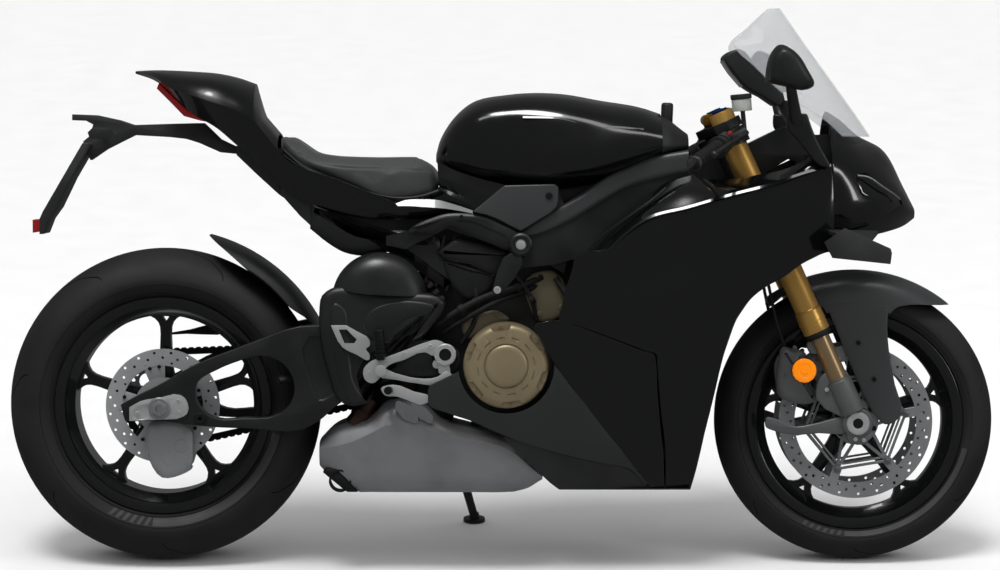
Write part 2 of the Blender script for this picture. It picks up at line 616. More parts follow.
def fairing():
    """The side fairings: upper and lower gloss panels, the grey panel, the keel and the closed floor."""
    upper = side_panel("side_panel_upper", [(849, 1414, 1421), (838, 1385, 1422), (820, 1326, 1423),
        (802, 1262, 1424), (782, 1185, 1425), (762, 1115, 1426), (742, 1040, 1427), (722, 1006, 1427),
        (700, 978, 1428), (677, 954, 1428), (662, 880, 1397), (641, 875, 1355), (615, 868, 1319),
        (596, 861, 1283), (570, 855, 1250), (544, 849, 1231), (530, 845, 1222), (515, 886, 1215),
        (501, 925, 1210), (480, 980, 1203), (462, 1026, 1197), (452, 1052, 1194), (437, 1053, 1190),
        (374, 1058, 1176), (330, 1062, 1166), (288, 1068, 1156), (249, 1072, 1148), (200, 1074, 1138),
        (159, 1075, 1128)])
    lower = side_panel("side_panel_lower", [(525, 830, 852), (512, 793, 888), (500, 799, 920),
        (480, 810, 974), (462, 821, 1020), (452, 826, 1047), (437, 835, 1050), (374, 881, 1054),
        (330, 914, 1058), (288, 946, 1062), (249, 978, 1067), (200, 1015, 1070), (159, 1046, 1072)],
        lift=-1.0)
    soften(upper, 1.2)
    soften(lower, 1.2)
    settle(upper, "chassis", GLOSS_BLACK, ["side_fairings"], 30)
    settle(lower, "chassis", GLOSS_BLACK, (), 30)
    grey = side_panel("belly_panel", [(480, 797, 803), (468, 741, 812), (455, 693, 820), (440, 664, 829),
        (420, 640, 845), (400, 601, 860), (381, 571, 874), (362, 570, 890), (347, 571, 902),
        (330, 606, 914), (310, 664, 930), (290, 708, 945), (270, 756, 961), (250, 818, 978),
        (235, 873, 988), (220, 937, 1000), (205, 1000, 1011), (172, 1031, 1037)], lift=-1.0)
    x, z = CLUTCH
    cut(grey, *[drum("clutch_hole", (x, side * 120, z), (x, side * 260, z), 101, sides=64)
        for side in (1, -1)])
    soften(grey, 1.2)
    settle(grey, "chassis", PANEL_GREY, ["belly_fairings"], 30)
    keel = side_panel("keel_panel", [
        (277, 728, 734), (255, 748, 800), (235, 768, 868), (220, 783, 932), (205, 797, 996), (188, 815, 1018),
        (172, 832, 1030), (160, 848, 1044)], lift=-6.0)
    settle(soften(keel, 1.0), "chassis", GRAINED_BLACK, (), 30)
    floor_rows = [[(x, y, 158 + 1.5 * (abs(y) / 130) ** 2) for x in (850, 900, 960, 1020, 1075, 1126)]
        for y in (-134, -90, -45, 0, 45, 90, 134)]
    pan = walled(sheet("belly_floor", floor_rows, 2, 2, outward=(0, 0, -1)), 3)
    settle(pan, "chassis", GRAINED_BLACK, (), 30)


def shoulder():
    """The inner panels from the fairing's shoulder line up to the spars and the headstock."""
    rear = [[(906, 150, 672), (940, 148, 706), (985, 146, 748), (1040, 146, 792), (1090, 148, 822),
        (1130, 150, 832)], [(920, 192, 670), (955, 196, 704), (1004, 200, 742), (1060, 200, 775),
        (1110, 196, 797), (1160, 190, 806)], [(944, 222, 668), (975, 226, 697), (1030, 227, 737),
        (1080, 227, 753), (1120, 226, 764), (1180, 226, 781)]]
    front = [
        [(1150, 152, 822), (1210, 160, 822), (1270, 168, 832), (1340, 172, 850), (1400, 170, 880)],
        [(1166, 190, 806), (1225, 197, 808), (1285, 198, 818), (1345, 194, 836), (1405, 180, 862)],
        [(1184, 226, 782), (1240, 226, 796), (1300, 217, 812), (1360, 200, 832), (1421, 178, 851)],
    ]
    for name, rows in (("shoulder_rear", rear), ("shoulder_front", front)):
        piece = both(walled(sheet(name, rows, 6, 8, outward=(0, 0.3, 1)), PANEL_WALL), name)
        settle(soften(piece, 0.8), "chassis", GLOSS_BLACK, ["side_fairings"], 35)


def nose():
    """The nose cowl from the shoulders to its point, with the two lamp openings."""
    rows = whole_rows([
        (1424, [(146, 690), (172, 745), (178, 800), (172, 850), (142, 905), (84, 945), (0, 966)]),
        (1450, [(148, 692), (172, 745), (174, 800), (162, 846), (128, 896), (74, 932), (0, 950)]),
        (1490, [(138, 698), (158, 748), (158, 795), (142, 838), (108, 876), (60, 903), (0, 915)]),
        (1545, [(104, 708), (124, 745), (126, 776), (110, 812), (82, 842), (44, 872), (0, 884)]),
        (1590, [(62, 722), (80, 744), (84, 758), (72, 778), (50, 792), (26, 801), (0, 806)]),
        (1612, [(38, 736), (46, 743), (48, 748), (42, 754), (28, 758), (14, 761), (0, 762)]),
    ])
    shell = sheet("nose_shell", rows, 6, 8, outward=(1, 0, 0.6))
    walled(shell, PANEL_WALL)
    lamp = [(1474, 832), (1498, 834), (1577, 778), (1580, 766), (1552, 748), (1484, 791)]
    cut(shell, slab("lamp_hole", lamp, -230, 230))
    settle(soften(shell, 0.8), "chassis", GLOSS_BLACK, ["nose_cowl"], 32)


def screen():
    """The clear bubble over the instrument."""
    levels = [
        (1187, [(1300, 30), (1312, 22), (1321, 10), (1325, 0)]),
        (1150, [(1262, 82), (1300, 68), (1336, 36), (1351, 0)]),
        (1106, [(1221, 112), (1290, 98), (1358, 52), (1382, 0)]),
        (1060, [(1262, 138), (1325, 122), (1390, 68), (1415, 0)]),
        (1003, [(1320, 166), (1380, 142), (1432, 82), (1456, 0)]),
        (950, [(1405, 160), (1432, 138), (1472, 80), (1494, 0)]),
        (912, [(1450, 135), (1475, 112), (1504, 60), (1520, 0)]),
    ]
    rows = [[(x, y, z) for x, y in half] + [(x, -y, z) for x, y in reversed(half[:-1])] for z, half in levels]
    bubble = walled(sheet("screen_bubble", rows, 8, 8, outward=(1, 0, 0.4)), PANEL_WALL)
    settle(bubble, "chassis", CLEAR, ["windscreen"], 60)


tank()
airbox()
tail()
tail_side()
tank_skirt()
fairing()
shoulder()
nose()
screen()


# ======================================================================================================
# Wheels
# ======================================================================================================


# Radii of a rim's bead seat and flange; the number of its spokes and the angle of the first.
BEAD_SEAT, FLANGE = 217.0, 232.0
SPOKES, SPOKE_START = 5, 18.0


def around(centre, radius, angle):
    """The (x, z) at a radius and an angle in degrees from a centre."""
    a = radians(angle)
    return centre[0] + radius * cos(a), centre[1] + radius * sin(a)


def turned(centre, angle, marks):
    """The (x, z) of (along, across) marks on a ray at an angle in degrees from a centre."""
    a = radians(angle)
    return [(centre[0] + r * cos(a) - t * sin(a), centre[1] + r * sin(a) + t * cos(a)) for r, t in marks]


def round_profile(half):
    """A closed profile from its left half, (radius, y) from the bead to the crown."""
    return half + [(r, -y) for r, y in reversed(half) if y > 0]


def flank(radius, half_width, bead):
    """The outer face of a tyre from flange to crown, as shares of its height and half its width."""
    height = radius - FLANGE
    low = [(FLANGE + s * height, bead + (half_width - bead) * t)
        for s, t in ((0.005, 0), (0.09, 0.42), (0.19, 0.76))]
    high = [(FLANGE + s * height, half_width * t) for s, t in ((0.34, 1.0), (0.47, 0.975), (0.62, 0.9),
        (0.74, 0.795), (0.84, 0.66), (0.92, 0.495), (0.97, 0.33), (0.993, 0.16), (1.0, 0.0))]
    return [(p.x, p.y) for p in thread([(r, y, 0) for r, y in low + high], 4)]


def ribbed(line, radius, width, height):
    """The line with a small raised ring at a radius."""
    k = min(i for i, (r, _) in enumerate(line) if r > radius)
    (r0, y0), (r1, y1) = line[k - 1], line[k]
    y = y0 + (y1 - y0) * (radius - r0) / (r1 - r0)
    ring = [(radius - width, y), (radius - width / 2, y + height), (radius + width / 2, y + height),
        (radius + width, y)]
    return [p for p in line[:k] if p[0] < ring[0][0]] + ring + [p for p in line[k:] if p[0] > ring[3][0]]


def tyre(name, body, axle, radius, half_width, bead, sipes):
    """A tyre with its rim line, wear step, sipes cut into the shoulders and knurled bands on the flanks."""
    centre = (axle[0], axle[2])
    face = flank(radius, half_width, bead)
    height = radius - FLANGE
    step = FLANGE + 0.29 * height
    line = ribbed(ribbed(face, FLANGE + 0.07 * height, 1.2, 1.0), step, 0.9, 0.9)
    piece = lathe(name, round_profile([(BEAD_SEAT + 0.3, bead)] + line), centre, steps=200)
    tools = []
    for k in range(sipes):
        for side in (1, -1):
            path = []
            for j in range(9):
                t = j / 8
                i = int((0.46 + 0.42 * t) * len(face))
                angle = 360 * (k + 0.25 * (side < 0)) / sipes + 22 * t ** 1.6
                x, z = around(centre, face[i][0], angle)
                x0, z0 = around(centre, face[i][0] - 2.4, angle)
                x1, z1 = around(centre, face[i][0] + 3, angle)
                path.append(((x0, side * (face[i][1] - 1.2), z0), (x1, side * (face[i][1] + 1.5), z1)))
            ribbon = sheet("sipe", [[p[0] for p in path], [p[1] for p in path]], 2, 1)
            tools.append(walled(ribbon, 2.4, 0))
    cut(piece, joined("sipes", tools))
    settle(piece, body, RUBBER, [name], 30)

    def pad(start, end, slant=0.0, columns=3):
        """A raised knurled patch on the flank, between two angles."""
        rows = []
        for r in (step - 3, step - 0.13 * height, step - 0.2 * height):
            y = next(y for rr, y in face if rr >= r) + 0.7
            rows.append([(*around(centre, r, start + (end - start) * c / columns + slant * (step - r)), -y)
                for c in range(columns + 1)])
        rows = [[(x, y, z) for x, z, y in row] for row in rows]
        return walled(sheet("pad", rows, 3, 3, outward=(0, -1, 0)), 1.5)

    pads = [pad(-95, -14, columns=27)] + [pad(-117.5 + 3.6 * k, -115.7 + 3.6 * k, 0.1) for k in range(6)]
    band = joined(name + "_flank_band", pads)
    settle(both(band, name + "_flank_band"), body, KNURLED_RUBBER, (), 40)


def rim(name, body, axle, half_width, hub_width, hub_radius, bore, spoke_y):
    """A cast wheel: drop-centre barrel, hub, and forked spokes with a window near the rim."""
    centre = (axle[0], axle[2])
    w, well = half_width, BEAD_SEAT - 19
    half = [(well, w - 34), (BEAD_SEAT, w - 22), (BEAD_SEAT, w - 7), (FLANGE - 1.5, w - 6), (FLANGE, w - 4),
            (FLANGE - 0.6, w - 1), (FLANGE - 3, w), (FLANGE - 11, w - 0.6), (BEAD_SEAT - 5.5, w - 5),
            (BEAD_SEAT - 6, w - 24), (well - 6, w - 36)]
    barrel = lathe(name + "_barrel", half + [(r, -y) for r, y in reversed(half)], centre, steps=144)
    hub = lathe(name + "_hub", [(bore, -hub_width), (bore, hub_width), (hub_radius - 8, hub_width),
        (hub_radius, hub_width - 8), (hub_radius - 4, 12), (hub_radius - 4, -12),
        (hub_radius, 8 - hub_width), (hub_radius - 8, -hub_width)], centre, steps=72)
    arms = []
    edge = [(hub_radius - 8, 21), (70, 15.5), (110, 12.5), (150, 11), (165, 12), (175, 15.5), (183, 23),
        (189, 34), (193, 50)]
    for k in range(SPOKES):
        a = SPOKE_START + 360 / SPOKES * k
        ends = [(r, -t) for r, t in edge] + [(r, t) for r, t in reversed(edge)]
        arm = slab("arm", turned(centre, a, ends), -spoke_y, spoke_y)
        window = slab("window", turned(centre, a, ((176, 0), (188, -8), (188, 8))), -90, 90)
        cut(arm, window)
        arms.append(soften(arm, 2.6, 2))
    settle(joined(name, [barrel, hub] + arms), body, WHEEL_BLACK, [name], 35)


def drilled(name, centre, radius, inner, y_low, y_high, rows):
    """A brake disc with rows of (radius, count, first angle, hole radius)."""
    profile = [(inner, y_low), (inner, y_high), (radius, y_high), (radius, y_low)]
    disc = lathe(name, profile, centre, steps=120)
    holes = []
    for r, count, first, size in rows:
        for k in range(count):
            x, z = around(centre, r, first + 360 / count * k)
            holes.append(drum("hole", (x, y_low - 3, z), (x, y_high + 3, z), size, sides=14))
    cut(disc, joined("holes", holes))
    return soften(disc, 0.5, 1)


def bar(start, end, width, y_low, y_high):
    """A flat bar between two (x, z) points."""
    a, b = Vector(start), Vector(end)
    side = Vector((-(b - a).y, (b - a).x)).normalized() * width / 2
    corners = [tuple(a + side), tuple(b + side), tuple(b - side), tuple(a - side)]
    return slab("bar", corners, y_low, y_high, 0.8, 1)


def front_discs():
    """Two drilled discs on open star carriers, with their floating pins and bolts."""
    centre = FRONT_HUB
    rows = [(139, 24, 0, 3.0), (147.5, 24, 7.5, 3.2), (156.5, 24, 2.5, 3.2)]
    rotor = drilled("front_rotor", centre, 165, 131, 62, 67, rows)
    pins, bars = [], []
    for k in range(6):
        a = 9.3 + 60 * k
        pin = around(centre, 109.5, a)
        bars += [bar(around(centre, 40, a + s * 22), pin, 7, 60.5, 65.5) for s in (-1, 1)]
        bars.append(bar(pin, around(centre, 109.5, a + 60), 6, 61, 65))
        bars.append(bar(around(centre, 96, a + 4), around(centre, 96, a + 56), 4.5, 61, 65))
        tab = bar(around(centre, 106, a), around(centre, 136, a), 20, 62.4, 66.6)
        rotor = joined("front_rotor", [rotor, tab])
        pins.append(drum("pin", (pin[0], 57, pin[1]), (pin[0], 69.5, pin[1]), 8, sides=28))
        pins.append(drum("pin", (pin[0], 69, pin[1]), (pin[0], 71, pin[1]), 4.2, sides=18))
    ring = lathe("ring", [(34, 55), (34, 66), (47, 66), (50, 63), (50, 55)], centre, steps=72)
    bolts = []
    for k in range(6):
        x, z = around(centre, 42, 39.3 + 60 * k)
        bolts.append(drum("bolt", (x, 65, z), (x, 70, z), 5.5, sides=18))
    carrier = joined("carrier", bars + [ring])
    settle(both(rotor, "front_rotors"), "front_wheel", STEEL, ["front_discs"], 30)
    settle(both(carrier, "disc_carriers"), "front_wheel", CARRIER_GREY, (), 30)
    settle(pair("disc_pins", [soften(p, 0.8, 2) for p in pins]), "front_wheel", ALLOY, (), 30)
    settle(pair("disc_bolts", bolts), "front_wheel", DARK_STEEL, (), 30)


def rear_disc():
    """The drilled rear disc on its five-armed carrier."""
    centre = REAR_HUB
    rows = [(92.5, 10, 6, 2.6), (103, 20, 0, 3.0), (114, 20, 9, 3.0)]
    rotor = drilled("rear_rotor", centre, 122, 86, -89, -84, rows)
    lobes = [ring_lobe(centre, 72 * k + 30) for k in range(5)]
    ring = lathe("ring", [(42, -84), (42, -88.5), (60, -88.5), (60, -76), (56, -76), (56, -84)], centre,
        steps=72)
    settle(joined("rear_rotor", [rotor, ring] + lobes), "rear_wheel", ROTOR_LIGHT, ["rear_disc"], 30)
    bolts = []
    for k in range(5):
        for s in (-7, 7):
            x, z = around(centre, 84, 72 * k + 30 + s)
            bolts.append(drum("bolt", (x, -92, z), (x, -86, z), 4, sides=16))
    settle(joined("rear_disc_bolts", bolts), "rear_wheel", DARK_STEEL, (), 30)


def ring_lobe(centre, angle):
    """One broad arm of the rear disc's carrier."""
    corners = turned(centre, angle, ((50, -16), (80, -22), (94, -26), (94, 26), (80, 22), (50, 16)))
    return slab("lobe", corners, -88, -84.6, 1.0, 2)


tyre("front_tyre", "front_wheel", FRONT_AXLE, 300, 60, 45.7, 7)
tyre("rear_tyre", "rear_wheel", REAR_AXLE, 335.5, 100, 77.7, 7)
rim("front_rim", "front_wheel", FRONT_AXLE, 52, 56, 44, 17.6, 16)
rim("rear_rim", "rear_wheel", REAR_AXLE, 84, 76, 52, 12.6, 20)
front_discs()
rear_disc()


# ======================================================================================================
# Middle of the bike
# ======================================================================================================


def outline(points, sharp=()):
    """A closed smooth line through (x, z) points, three steps to each, with corners at the sharp ones."""
    steps = 3
    ring = [(x, z, 0) for x, z in [points[-1]] + points + points[:2]]
    corners = {i + 1 for i in sharp} | ({len(points) + 1} if 0 in sharp else set())
    line = thread(ring, steps, corners)
    return [(p.x, p.y) for p in line[steps:steps * (len(points) + 1)]]


def puffed(name, corners, y_low, y_high, steps):
    """A plate whose right face swells: each step says how far it draws in and how far it rises, in mm."""
    piece = slab(name, corners, y_low, y_high)
    swell = [lambda w=w, h=h: bpy.ops.mesh.inset(thickness=w * MM, depth=h * MM, use_even_offset=False)
        for w, h in steps]
    shape(piece, lambda f: f.normal.y < -0.9, *swell)
    return piece


def loft(name, rings, across, along, sharp=(), sharp_rings=()):
    """A closed solid through rings of points, each ring closed on itself."""
    piece = sheet(name, [ring + [ring[0]] for ring in rings], across, along, sharp, sharp_rings)
    tidy(piece)
    shape(piece, lambda v: True, lambda: bpy.ops.mesh.fill_holes(sides=0),
          lambda: bpy.ops.mesh.normals_make_consistent(inside=False), kind="VERT")
    return piece


def strap(name, top, low, y_edge, y_mid, thick=3, fine=5):
    """A band between two lines of (x, z) points, its middle standing out."""
    a, b = [Vector((x, 0, z)) for x, z in top], [Vector((x, 0, z)) for x, z in low]
    rows = []
    for t, y in ((0, y_edge - 3), (0.08, y_edge + (y_mid - y_edge) * 0.5), (0.5, y_mid),
            (0.92, y_edge + (y_mid - y_edge) * 0.5), (1, y_edge - 3)):
        rows.append([tuple(p + (q - p) * t + Vector((0, y, 0))) for p, q in zip(a, b)])
    return walled(sheet(name, rows, fine, 3), thick)


def bolt(x, z, y_face, radius, proud, socket=2.4):
    """A cap screw on the right side, with its hexagon socket."""
    head = soften(drum("bolt", (x, y_face + 1, z), (x, y_face - proud, z), radius, sides=24), 0.6, 2, 30)
    hole = drum("socket", (x, y_face - proud + 1.6, z), (x, y_face - proud - 2, z), socket, sides=6)
    return cut(head, hole)


def frame_side():
    """The frame's side: strip, cover plate, subframe arm with its groove, link, pins and bolts."""
    top = [(762, 707), (800, 733), (845, 761), (896, 790), (946, 825), (995, 848), (1044, 869), (1122, 883)]
    low = [(790, 700), (818, 708), (845, 719), (880, 736), (937, 773), (995, 805), (1044, 818), (1122, 835)]
    band = both(soften(strap("frame_band", top, low, 137, 142), 0.8, 1), "frame_band")
    settle(band, "chassis", SATIN_GREY, (), 40)
    under = slab("frame_under", [(764, 700), (845, 717), (900, 752), (940, 772), (908, 668), (870, 664),
        (858, 620), (788, 662)], 100, 131, 2)
    settle(both(under, "frame_under"), "chassis", CAST_DARK, (), 35)
    plate = slab("cover_plate", outline([(664, 752), (700, 782), (731, 808), (838, 811), (846, 804),
        (842, 763), (800, 732), (766, 710), (695, 745)], (0, 2, 3, 4, 7)), -154, -128, 4, 4)
    left = other_side(plate, "cover_plate_left")
    settle(joined("cover_plates", [plate, left]), "chassis", SATIN_GREY, ["frame_covers"], 40)
    link = slab("link", outline([(750, 668), (766, 664), (727, 583), (716, 575), (705, 583), (707, 593)]),
        -164, -156, 2.2)
    ring = lathe("ring", [(13, -150), (13, -168), (20, -169.5), (24, -167), (25, -150)], SIDE_PIN, steps=64)
    arm = puffed("subframe_arm", outline([(527, 711), (548, 727), (572, 737), (609, 748), (656, 748),
        (693, 743), (727, 727), (762, 708), (768, 690), (744, 670), (708, 682), (672, 697), (640, 711),
        (611, 722), (590, 708), (554, 706)]), -128, -144, ((2, 2), (3, 2), (5, 1.5)))
    groove = slab("groove", outline([(628, 731), (660, 732), (700, 716), (736, 695), (728, 690), (690, 706),
        (655, 720), (632, 724)]), -160, -147.5)
    cut(arm, groove)
    settle(pair("side_arms", [link, ring, arm]), "chassis", SATIN_BLACK, (), 38)
    pins = [lathe("pin", [(0, -150), (0, -166), (8, -166), (11.5, -164.5), (12, -150)], SIDE_PIN, steps=48),
            bolt(716, 587, -163.5, 8, 3.5, 3.6)]
    settle(pair("side_arm_pins", pins), "chassis", BRIGHT_ALLOY, (), 35)
    plugs = [bolt(826, 786, -154, 7.5, 3.5, 3.8), bolt(640, 742, -148.5, 4, 1.5, 2)]
    settle(pair("cover_bolts", plugs), "chassis", DARK_STEEL, (), 35)


def side_boxes():
    """Dark mouldings, hoses and castings that fill the space between the tail, the frame and the engine."""
    beam = puffed("tail_beam", outline([(318, 777), (373, 746), (420, 718), (475, 711), (522, 711),
        (560, 700), (589, 701), (609, 660), (622, 600), (617, 590), (569, 608), (530, 644), (487, 665),
        (432, 657), (388, 665), (357, 683), (317, 715)], (0, 16)), -60, -106, ((4, 4), (6, 4), (10, 3)))
    box = puffed("side_box", outline([(590, 664), (608, 682), (628, 694), (654, 690), (700, 678),
        (741, 663), (738, 645), (711, 620), (655, 640), (601, 652)]), -90, -122,
        ((2.5, 2.5), (4, 2), (7, 2)))
    low = puffed("side_box_low", outline([(601, 652), (655, 637), (711, 618), (705, 600), (693, 576),
        (654, 563), (640, 572), (614, 600)]), -90, -114, ((2.5, 2.5), (4, 2), (7, 2)))
    tray = slab("battery_tray", [(560, 640), (760, 640), (860, 720), (860, 770), (700, 780), (560, 745)],
        -70, 70, 6)
    front = slab("pump_box", [(566, 470), (700, 470), (760, 520), (900, 540), (900, 720), (570, 660)], -84,
        84, 6)
    links = slab("linkage", [(430, 300), (620, 300), (660, 480), (600, 500), (500, 470), (440, 420)], -58,
        58, 5)
    rear = slab("tank_foot", [(600, 745), (740, 800), (1040, 850), (1080, 835), (930, 760), (740, 700)],
        -96, 96, 4)
    ribs = [slab("rib", [(560 + 22 * k, 600 - 9 * k), (566 + 22 * k, 600 - 9 * k), (584 + 22 * k, 700),
        (578 + 22 * k, 700)], -116, -108, 1.2) for k in range(3)]
    whole = joined("side_boxes", [beam, box, low] + ribs)
    settle(joined("side_boxes", [both(whole, "side_boxes"), tray, front, links, rear]), "chassis",
        SATIN_BLACK, (), 38)
    routes = (
        (7, [(589, -120, 512), (640, -126, 545), (700, -128, 574), (760, -120, 590), (812, -104, 612)]),
        (6, [(600, -112, 494), (655, -121, 528), (715, -124, 560), (765, -116, 578), (806, -100, 596)]),
        (5, [(640, -104, 470), (668, -114, 520), (672, -118, 570), (660, -110, 620)]),
        (5, [(720, -110, 640), (758, -118, 612), (790, -116, 560), (800, -104, 520)]),
        (6, [(840, -112, 610), (870, -118, 560), (880, -112, 520)]),
    )
    pipes = []
    for radius, path in routes:
        pipes += rod("pipe", path, radius, sides=18)
    for x, y, z in ((640, -126, 545), (760, -120, 590), (672, -118, 560), (790, -116, 565)):
        pipes.append(drum("clip", (x - 5, y, z - 3), (x + 5, y, z + 3), 10, sides=20))
    settle(pair("engine_pipes", pipes), "chassis", SOFT_RUBBER, (), 50)
    head = puffed("head", outline([(776, 604), (800, 622), (838, 624), (866, 560), (850, 528), (800, 520),
        (784, 552)]), -90, -104, ((2.5, 2), (5, 2)))
    cover = puffed("cover", outline([(640, 512), (672, 530), (716, 540), (742, 522), (700, 506),
        (650, 480)]), -90, -106, ((2.5, 2), (5, 2)))
    heads = [head, cover]
    heads += [bolt(x, z, -108, 5, 4) for x, z in ((800, 610), (846, 596), (852, 548), (806, 534), (712, 530))]
    settle(pair("engine_castings", heads), "chassis", WORN_BRONZE, (), 35)


def engine_covers():
    """The round clutch cover with its raised disc, slots, rim flats and screws, and the cover on the left."""
    c = CLUTCH
    profile = [(20, -120), (90, -120), (91, -186), (89, -194), (84, -200), (76, -203.2), (50, -206.5),
        (47.5, -206.5), (46.5, -204.6), (45, -204.6), (44, -208), (41, -210.2), (20, -210.8)]
    dome = lathe("clutch_dome", profile, c, steps=144)
    tools = []
    for k in range(12):
        a0, a1 = 30 * k + 3, 30 * k + 19
        arc = [around(c, 61.5, a0 + (a1 - a0) * j / 4) for j in range(5)]
        arc += [around(c, 59, a1 - (a1 - a0) * j / 4) for j in range(5)]
        tools.append(slab("slot", arc, -212, -203.4))
    flats = []
    for k in range(6):
        a = 60 * k + 38
        notch = [around(c, 77, a - 13), around(c, 77, a + 13), around(c, 102, a + 17), around(c, 102, a - 17)]
        flats.append(slab("notch", notch, -220, -195))
    cut(dome, joined("slots", tools), joined("notches", flats))
    core = puffed("core", [around(c, 42, 6 * k) for k in range(60)], -205, -210.3,
        ((1.5, 1.0), (8, 0.3), (12, 0.2)))
    screws = [bolt(*around(c, 84, 60 * k + 38), -194.5, 4.5, 3, 2.2) for k in range(6)]
    settle(joined("clutch_dome", [soften(dome, 1.0, 2, 35), core] + screws), "chassis", BRONZE_PAINT,
           ["clutch_cover"], 35)
    refined("alternator_cover", 2.0, 3)


def heat_shield():
    """The moulded cover behind the footrest: a low shell with a round dome above and a curved crest."""
    low = puffed("shield_low", outline([(345, 575), (372, 592), (430, 588), (476, 580), (523, 580),
        (560, 580), (592, 574), (606, 560), (602, 545), (584, 518), (552, 482), (507, 468), (478, 452),
        (452, 434), (436, 408), (441, 383), (449, 352), (433, 344), (398, 342), (378, 356), (362, 398),
        (347, 450), (339, 505), (339, 540)]), -120, -164, ((2.5, 4), (3.5, 3), (5, 2), (6, 1)))
    dome = lathe("shield_dome", [(0, -120), (0, -186), (22, -185.2), (44, -182.4), (64, -177.4),
        (80, -170.2), (92, -161), (99, -150), (101, -138), (101, -120)], (466, 565), steps=96)
    cut(dome, slab("below", [(340, 440), (600, 440), (600, 572), (520, 574), (440, 578), (340, 592)], -200,
        -100))
    soften(dome, 2, 2, 40)
    crest = puffed("shield_crest", outline([(430, 520), (453, 548), (496, 563), (539, 565), (584, 552),
        (570, 534), (536, 528), (508, 512), (494, 480), (474, 470), (444, 486)]), -160, -172,
        ((2.5, 2.5), (3.5, 1.5)))
    spine = puffed("shield_spine", outline([(372, 560), (392, 548), (400, 500), (404, 440), (412, 392),
        (430, 350), (412, 346), (388, 380), (372, 440), (362, 510)]), -160, -174, ((2.5, 2), (3, 1)))
    parts = [low, dome, crest, spine]
    for k in range(3):
        parts.append(slab("tooth", [(566 + 12 * k, 596 - 14 * k), (576 + 12 * k, 604 - 14 * k),
            (582 + 12 * k, 597 - 14 * k), (572 + 12 * k, 589 - 14 * k)], -170, -150, 1.5))
    settle(joined("heat_shell", parts), "chassis", SATIN_BLACK, ["heat_shield"], 42)


def silencer():
    """The low silencer under the engine, with its long crease, humped top and dark outlet."""
    marks = [  # x, bottom, crease, top, how far the right side stands out
        (337, 208, 250, 262, 136), (366, 178, 253, 290, 150), (405, 156, 263, 306, 158),
        (452, 154, 285, 320, 162), (478, 154, 298, 346, 163), (507, 154, 300, 354, 164),
        (554, 154, 294, 349, 164), (597, 154, 283, 310, 165), (660, 154, 268, 290, 165),
        (727, 154, 253, 272, 165), (752, 155, 241, 265, 163), (782, 163, 214, 232, 160),
        (812, 182, 189, 194, 152)]
    rings = []
    for x, low, mid, top, wide in marks:
        tall, left = mid - low, wide * 0.57
        rings.append([(x, -wide + 34, low), (x, -wide + 12, low + tall * 0.12),
            (x, -wide + 2, low + tall * 0.55), (x, -wide, mid), (x, -wide + 14, mid + (top - mid) * 0.62),
            (x, -wide + 36, top), (x, -40, top + 1), (x, left - 26, top - 2),
            (x, left - 4, mid + (top - mid) * 0.4), (x, left, mid), (x, left - 6, low + tall * 0.3),
            (x, left - 26, low), (x, -20, low - 0.5)])
    body = loft("silencer_shell", rings, 4, 5, sharp=(0, 3, 5, 7, 11, 13), sharp_rings=(10,))
    mouth = slab("mouth", [(330, 190), (352, 208), (374, 205), (394, 186), (426, 150), (330, 140)], -180,
        -112)
    cut(body, mouth)
    settle(soften(body, 0.8, 2, 24), "chassis", SILENCER_GREY, ["silencer"], 22)
    inner = slab("outlet", [(344, 199), (354, 207), (374, 204), (393, 185), (420, 156), (396, 156)], -150,
        -104, 3)
    lip = lathe("lip", [(20, -152), (24, -152), (24, -116), (20, -116)], (382, 180), steps=48)
    settle(joined("silencer_outlet", [inner, lip]), "chassis", DARK_STEEL, (), 35)
    ribs = [slab("rib", outline(corners), -166, -148, 2) for corners in (
        [(500, 350), (508, 352), (548, 306), (541, 303)], [(534, 350), (542, 350), (580, 305), (573, 303)])]
    settle(joined("silencer_ribs", ribs), "chassis", SILENCER_GREY, (), 35)
    bends = [(446, -118, 352), (428, -120, 322), (408, -120, 298)]
    pipe = [drum("pipe", a, b, 19) for a, b in zip(bends, bends[1:])]
    pipe.append(drum("clamp", (430, -120, 326), (423, -120, 314), 22.5))
    settle(joined("link_pipe", pipe), "chassis", HOT_STEEL, (), 35)


